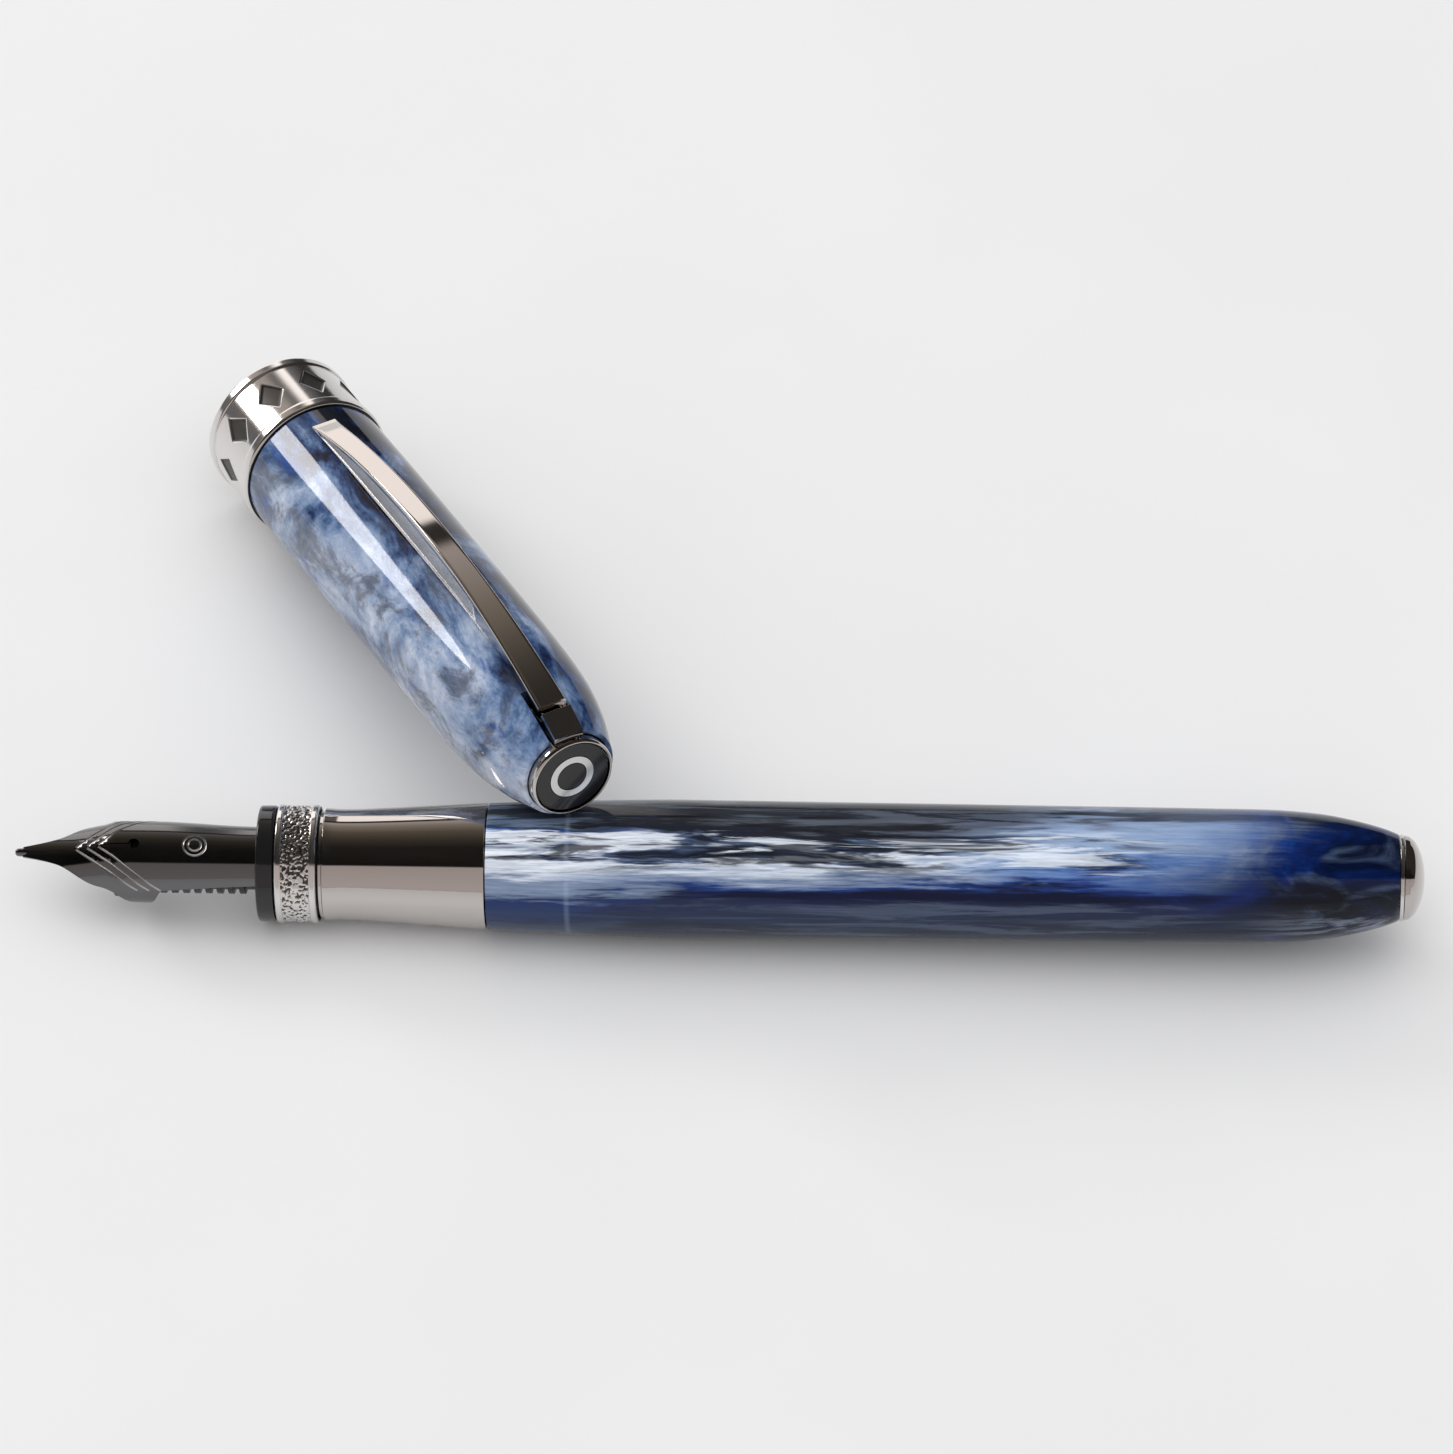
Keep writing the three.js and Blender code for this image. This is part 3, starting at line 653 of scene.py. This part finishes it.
def turned_mesh(name, outline, sides=96, relief=None):
    """An outline turned about X. relief(x, radius, angle) gives how far the surface stands off its radius."""
    closed = outline[0].y > 0
    points, rings = [], []
    for x, radius in outline:
        if radius < 1e-6:
            rings.append([len(points)] * sides)
            points.append((x, 0, 0))
            continue
        rings.append(range(len(points), len(points) + sides))
        for side in range(sides):
            angle = 2 * math.pi * side / sides
            reach = radius + (relief(x, radius, angle) if relief else 0)
            points.append((x, reach * math.sin(angle), reach * math.cos(angle)))
    faces = []
    pairs = list(zip(rings, rings[1:]))
    if closed:
        pairs.append((rings[-1], rings[0]))
    for first, second in pairs:
        for side in range(sides):
            following = (side + 1) % sides
            corners = (first[side], first[following], second[following], second[side])
            faces.append(tuple(dict.fromkeys(corners)))
    return mesh_of(name, points, faces)


def stand_in(node, mesh, extra_materials=()):
    """A finished piece that shows in place of a CAD node, on the node's own body."""
    material = MATERIALS[SLOT_OF[node]]
    made = add_piece("fine_" + node, mesh, place_of(node), [material, *extra_materials])
    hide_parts(node)
    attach(made, BODY_OF[node])
    return made


def carved(piece, *cutters):
    """Cuts the cutters' meshes, which are in the piece's own frame, out of it."""
    tools = []
    for cutter in cutters:
        tool = bpy.data.objects.new(cutter.name, cutter)
        tool.matrix_world = piece.matrix_world
        bpy.context.scene.collection.objects.link(tool)
        tools.append(tool)
        cut = piece.modifiers.new("cut", "BOOLEAN")
        cut.object = tool
        cut.solver = "EXACT"
    bpy.context.view_layer.update()
    evaluated = piece.evaluated_get(bpy.context.evaluated_depsgraph_get())
    mesh = bpy.data.meshes.new_from_object(evaluated)
    piece.modifiers.clear()
    piece.data = mesh
    for tool in tools:
        bpy.data.objects.remove(tool)
    return piece


def prism(name, corners, low, high):
    """A flat outline of (x, y) corners, standing from low to high in Z."""
    count = len(corners)
    points = [(x, y, z) for z in (low, high) for x, y in corners]
    faces = [tuple(range(count)), tuple(range(count, 2 * count))]
    faces += [(i, (i + 1) % count, (i + 1) % count + count, i + count) for i in range(count)]
    return mesh_of(name, points, faces)


def smooth_curve(points):
    """A function that follows (place, value) points without overshooting them."""
    gaps = [(x1 - x0, (y1 - y0) / (x1 - x0)) for (x0, y0), (x1, y1) in zip(points, points[1:])]
    slopes = [gaps[0][1]]
    for (h0, d0), (h1, d1) in zip(gaps, gaps[1:]):
        rising = d0 * d1 > 0
        slopes.append(3 * (h0 + h1) / ((2 * h1 + h0) / d0 + (h1 + 2 * h0) / d1) if rising else 0)
    slopes.append(gaps[-1][1])

    def value(place):
        place = min(max(place, points[0][0]), points[-1][0])
        i = next(k for k in range(len(gaps)) if place <= points[k + 1][0])
        h, t = gaps[i][0], (place - points[i][0]) / gaps[i][0]
        return (
            points[i][1] * (2 * t**3 - 3 * t**2 + 1) + slopes[i] * h * (t**3 - 2 * t**2 + t)
            + points[i + 1][1] * (3 * t**2 - 2 * t**3) + slopes[i + 1] * h * (t**3 - t**2)
        )
    return value


# ---- Turned pieces ----

def make_turned(node, edge=0.12, sides=96, spacing=0.5):
    return stand_in(node, turned_mesh(node, refined(meridian(node), edge, spacing), sides))


def make_relief(node, relief, step, keep, edge=0.12, sides=96):
    """A turned piece whose surface carries a pattern where keep(point) holds."""
    outline = divided(refined(meridian(node), edge), step, keep)
    return stand_in(node, turned_mesh(node, outline, sides, relief))


def etched_relief(x, radius, angle):
    """Worm-like etching between the trim ring's rims."""
    middle, half = 26.25, 1.38
    if abs(radius - TRIM_FIELD_R) > 0.05 or abs(x - middle) > half:
        return 0
    spot = Vector((x, radius * math.sin(angle), radius * math.cos(angle)))
    wave = noise.noise(spot * 3.6) + 0.6 * noise.noise(spot * 7.3)
    share = min(max((wave + 0.24) / 0.34, 0), 1)
    return 0.03 - 0.11 * (1 - share * share * (3 - 2 * share))


def lozenge_relief(x, radius, angle):
    """A row of lozenges sunk into the cap's band. Their walls slope over a part, wall, of their half size."""
    count, middle, half_length, half_width = 10, 4.25, 2.1, 1.4
    depth, wall = 0.16, 0.16
    if abs(radius - BAND_FIELD_R) > 0.05:
        return 0
    turn = (angle * count / (2 * math.pi)) % 1 - 0.5
    across = abs(turn) * 2 * math.pi * radius / count
    reach = 1 - abs(x - middle) / half_length - across / half_width
    return -depth * min(max(reach / wall, 0), 1)


def thread_relief(x, radius, angle):
    """A single-start thread that rises to the radius and is cut below it."""
    pitch, depth = 0.8, 0.24
    phase = (x / pitch - angle / (2 * math.pi)) % 1
    return -depth * abs(2 * phase - 1)


def knurl_relief(x, radius, angle):
    ridges, depth = 30, 0.16
    return -depth * (0.5 + 0.5 * math.cos(ridges * angle)) ** 2


def make_section():
    make_turned("front_ring", edge=0.3, sides=128)
    make_turned("grip_shell", edge=0.1, sides=160, spacing=0.25)
    make_turned("section_magnet")
    make_relief(
        "trim_ring", etched_relief, 0.075,
        lambda p: abs(p.y - TRIM_FIELD_R) < 0.01, sides=400,
    )
    make_relief("section_core", thread_relief, 0.1, lambda p: p.y > 4.8, edge=0.1)


def make_barrel():
    make_turned("barrel_shell", sides=160)
    make_turned("barrel_bush")
    make_turned("tail_ring", edge=0.08, sides=128)
    make_turned("tail_dome", edge=0.1, sides=128, spacing=0.12)


def make_converter():
    for node in ("converter_mouth", "converter_tube", "converter_sleeve", "piston_rod", "piston_seal"):
        make_turned(node, edge=0.1, sides=64)
    make_relief(
        "converter_knob", knurl_relief, 0.4,
        lambda p: p.y > 3.45, edge=0.2, sides=240,
    )


# ---- Nib unit ----

nib_radius = smooth_curve(((0, 3.0), (8, 3.4), (9.5, 3.75), (12.5, 3.77), (22.6, 3.38), (30, 3.38)))
nib_crown = smooth_curve(((0, 1.7), (4, 2.1), (8, 3.3), (9.5, 3.75), (12.5, 3.77), (22.6, 3.38), (30, 3.38)))
nib_wrap = smooth_curve((
    (0, 6), (4, 25), (7.7, 68), (9.2, 76), (11, 108), (12.4, 112), (13.8, 72), (16, 70), (30, 62),
))
NIB_FRONT, NIB_BACK = 0.75, 30
GROOVE_DEPTH = 0.07


def nib_half_width(x):
    """Half the width of the nib's sheet, measured round its bend."""
    return nib_radius(x) * math.radians(nib_wrap(x))


def bent(point):
    """A point of the flat sheet (along, across, height over the top face), bent to the nib's shape."""
    radius = nib_radius(point.x)
    angle = point.y / radius
    reach = radius + point.z
    return Vector((point.x, reach * math.sin(angle), nib_crown(point.x) - radius + reach * math.cos(angle)))


def groove(name, start, end, width=0.2):
    """A V-shaped bar that engraves a line between two points of the flat sheet."""
    start, end = Vector(start), Vector(end)
    side = (end - start).normalized().orthogonal() * width / 2
    points = []
    for end_point in (start, end):
        points += [(*(end_point - side), 0), (*(end_point + side), 0), (*(end_point + side), 0.1)]
        points += [(*(end_point - side), 0.1), (*end_point, -GROOVE_DEPTH)]
    faces = [(0, 3, 2, 1, 4), (5, 9, 6, 7, 8)]
    ring = (0, 3, 2, 1, 4)
    for a, b in zip(ring, ring[1:] + ring[:1]):
        faces.append((a, b, b + 5, a + 5))
    return mesh_of(name, points, faces)


def ring_groove(name, along, radius, width=0.2, sides=40):
    """A V-shaped ring that engraves a circle round a point on the sheet's middle line."""
    section = [(radius - width / 2, 0), (radius - width / 2, 0.1), (radius + width / 2, 0.1),
               (radius + width / 2, 0), (radius, -GROOVE_DEPTH)]
    points, faces = [], []
    for side in range(sides):
        angle = 2 * math.pi * side / sides
        points += [(along + r * math.cos(angle), r * math.sin(angle), z) for r, z in section]
        first, second = side * 5, (side + 1) % sides * 5
        faces += [(first + k, first + (k + 1) % 5, second + (k + 1) % 5, second + k) for k in range(5)]
    return mesh_of(name, points, faces)


def nib_cutters():
    """The slit, the breather hole, the engraved chevrons and two plain engraved rings."""
    hole = [(BREATHER["along"] + BREATHER["radius"] * math.cos(a), BREATHER["radius"] * math.sin(a))
            for a in (2 * math.pi * k / 32 for k in range(32))]
    yield prism("breather", hole, -1, 1)
    yield prism("slit", [(0, -0.03), (BREATHER["along"], -0.05), (BREATHER["along"], 0.05), (0, 0.03)], -1, 1)
    slope, reach = 1.26, 4.7
    for start in (5.63, 6.7, 7.77):
        for side in (-1, 1):
            outer = (start + slope * reach, side * reach)
            yield groove(f"chevron_{start}_{side}", (start + 0.12, side * 0.1), outer)
    for radius in (1.05, 0.6):
        yield ring_groove(f"ring_{radius}", 16.8, radius)


def make_nib():
    """The flat sheet is cut and engraved first, then sliced finely both ways and bent."""
    stations = [NIB_FRONT + (NIB_BACK - NIB_FRONT) * k / 160 for k in range(161)]
    outline = [(x, nib_half_width(x)) for x in stations]
    outline += [(x, -nib_half_width(x)) for x in reversed(stations)]
    flat = add_piece("flat_nib", prism("nib", outline, -NIB_SHEET, 0), Matrix.Identity(4), [])
    carved(flat, *nib_cutters())
    work = bmesh.new()
    work.from_mesh(flat.data)
    bpy.data.objects.remove(flat)

    def slice_along(axis, places):
        for place in places:
            point = Vector((0, 0, 0))
            point[axis] = place * MM
            normal = Vector((0, 0, 0))
            normal[axis] = 1
            geometry = work.verts[:] + work.edges[:] + work.faces[:]
            bmesh.ops.bisect_plane(work, geom=geometry, dist=1e-7, plane_co=point, plane_no=normal)

    slice_along(1, [0.2 * k + 0.01 for k in range(-37, 38)])
    slice_along(0, [0.4 * k + 0.013 for k in range(2, 75)])
    bmesh.ops.triangulate(work, faces=[f for f in work.faces if len(f.verts) > 4])
    for face in work.faces:
        heights = [vertex.co.z / MM for vertex in face.verts]
        engraved = -GROOVE_DEPTH - 0.01 < min(heights) < -0.01 and max(heights) < 0.01
        face.material_index = 1 if engraved else 0
    for vertex in work.verts:
        vertex.co = bent(vertex.co / MM) * MM
    bmesh.ops.recalc_face_normals(work, faces=work.faces)
    mesh = bpy.data.meshes.new("nib")
    work.to_mesh(mesh)
    work.free()
    made = stand_in("nib", mesh, [polished("engraving", (0.62, 0.61, 0.60), 0.3)])
    made.data.set_sharp_from_angle(angle=math.radians(32))


def make_tipping():
    """The writing pellet: a rounded barrel shape along the nib, slit down the middle."""
    length, radius, rise = 1.15, 0.38, 1.62
    outline = []
    for k in range(17):
        angle = math.pi * k / 16
        outline.append(Vector((
            length / 2 * (1 - math.copysign(abs(math.cos(angle)) ** 0.7, math.cos(angle))),
            radius * math.sin(angle) ** 0.7 if 0 < k < 16 else 0,
        )))
    mesh = turned_mesh("nib_tipping", outline, 40)
    mesh.transform(Matrix.Translation((0.02 * MM, 0, rise * MM)))
    pellet = stand_in("nib_tipping", mesh)
    carved(pellet, prism("slit", [(-1, -0.03), (2, -0.03), (2, 0.03), (-1, 0.03)], 1.3, 3))
    pellet.data.materials[0] = polished("tipping", (0.16, 0.16, 0.165), 0.12)
    pellet.data.set_sharp_from_angle(angle=math.radians(40))


def make_feed():
    """The black ink feed, with the short comb that shows at the nib's shoulders."""
    outline = []
    for point in meridian("ink_feed"):
        at_shoulder = 9.1 < point.x < 11 and point.y > 2.9
        outline.append(Vector((point.x, 3.2)) if at_shoulder else point)
    stand_in("ink_feed", turned_mesh("ink_feed", refined(outline, edge=0.06), 96))


# ---- Cap ----

def clip_top(x):
    """Height of the clip's top over the cap's axis: an arch between its two ends."""
    middle, half = (CLIP_TIP + CLIP_END) / 2, (CLIP_END - CLIP_TIP) / 2
    tip_height, end_height = 7.45, 6.4
    chord = tip_height + (end_height - tip_height) * (x - CLIP_TIP) / (CLIP_END - CLIP_TIP)
    return chord + CLIP_RISE * (1 - ((x - middle) / half) ** 2)


clip_bottom = smooth_curve((
    (CLIP_TIP, 7.36), (22, 7.38), (40, 7.3), (48, 7.17),
    (52, 6.93), (55, 6.57), (56.8, 6.22), (CLIP_END, 5.75),
))
clip_half_width = smooth_curve(((CLIP_TIP, 1.22), (20, 1.1), (40, 1.12), (52, 1.3), (CLIP_END, 1.42)))


def make_clip():
    """A solid arch whose sides carry a sunk, matt field, with a tab for the hinge pin."""
    stations, rows, bevel, sink = 96, 6, 0.22, 0.06
    field_start, field_end = 13.5, 45.5
    points, faces, matt = [], [], []

    def section(x):
        half, low, high = clip_half_width(x), clip_bottom(x), max(clip_top(x), clip_bottom(x) + 0.12)
        size = min(bevel, 0.4 * (high - low))
        edge_low, edge_high = low + 0.12 * (high - low), high - 0.2 * (high - low) - 0.1 * size
        in_field = field_start < x < field_end
        wall = [(half, low), (half, edge_low)]
        for row in range(rows + 1):
            z = edge_low + (edge_high - edge_low) * row / rows
            wall.append((half - (sink if in_field else 0), z))
        wall.append((half, edge_high + 0.001))
        for step in range(5):
            turn = math.pi / 2 * step / 4
            wall.append((half - size * (1 - math.cos(turn)), high - size * (1 - math.sin(turn))))
        wall.append((half - size * 1.6, high))
        return wall

    for station in range(stations + 1):
        x = CLIP_TIP + (CLIP_END - CLIP_TIP) * station / stations
        wall = section(x)
        points += [(x, y, z) for y, z in wall] + [(x, -y, z) for y, z in reversed(wall)]
    ring = len(points) // (stations + 1)
    half_ring = ring // 2
    for station in range(stations):
        x = CLIP_TIP + (CLIP_END - CLIP_TIP) * (station + 0.5) / stations
        for k in range(ring):
            a, b = station * ring + k, station * ring + (k + 1) % ring
            faces.append((a, b, b + ring, a + ring))
            row = k if k < half_ring else ring - 2 - k
            matt.append(2 <= row < 2 + rows and field_start < x < field_end)
    faces += [tuple(range(ring)), tuple(range(stations * ring, (stations + 1) * ring))]
    mesh = mesh_of("clip_arm", points, faces)
    for face, is_matt in zip(mesh.polygons, matt):
        face.material_index = 1 if is_matt else 0
    clip = stand_in("clip_arm", mesh, [clip_etch()])
    clip.data.set_sharp_from_angle(angle=math.radians(35))
    tab = prism("clip_tab", [(57.0, 3.75), (58.8, 3.75), (58.8, 6.0), (57.0, 6.4)], -0.75, 0.75)
    tab.transform(Matrix.Rotation(math.pi / 2, 4, "X"))
    piece = add_piece("clip_tab", tab, CAP, [MATERIALS["gunmetal"]])
    piece.data.set_sharp_from_angle(angle=math.radians(35))
    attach(piece, "clip")


def make_cap():
    shell = make_turned("cap_shell", sides=160)
    clip_opening = prism("clip_opening", [(56, -1.7), (63, -1.7), (63, 1.7), (56, 1.7)], 2.6, 8)
    carved(shell, clip_opening)
    shell.data.set_sharp_from_angle(angle=math.radians(40))
    make_relief(
        "cap_band", lozenge_relief, 0.1,
        lambda p: abs(p.y - BAND_FIELD_R) < 0.01, edge=0.15, sides=480,
    )
    for node in ("cap_liner", "cap_magnet", "finial_base_magnet", "finial_magnet"):
        make_turned(node, edge=0.1)
    make_turned("finial_bezel", edge=0.14, sides=128)
    make_turned("finial_disc", edge=0.05, sides=128)
    make_turned("finial_inlay", edge=0.03, sides=128)


def soften(node, edge=0.08):
    """A CAD node that keeps its own shape, with its sharp edges rounded."""
    piece = frame["nodes"][node]
    piece.data.materials.clear()
    piece.data.materials.append(MATERIALS[SLOT_OF[node]])
    joined = piece.modifiers.new("join", "WELD")
    joined.merge_threshold = 0.001 * MM
    rounded = piece.modifiers.new("edges", "BEVEL")
    rounded.width = edge * MM
    rounded.segments = 3
    rounded.angle_limit = math.radians(35)
    rounded.harden_normals = True


# ---- The scene ----

make_camera()
make_world()
make_window()
make_floor()
make_section()
make_nib()
make_tipping()
make_feed()
make_turned("nib_housing")
make_barrel()
make_converter()
make_clip()
make_cap()
for plain_node in ("clip_bracket", "clip_pin", "clip_spring", "finial_nut"):
    soften(plain_node)

view = bpy.context.scene.view_settings
view.view_transform = "Standard"
view.look = "None"
view.exposure = 0.0

boxes = {"cad": CAD_BOX, "visual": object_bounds()}
{name: [list(corner) for corner in box] for name, box in boxes.items()}
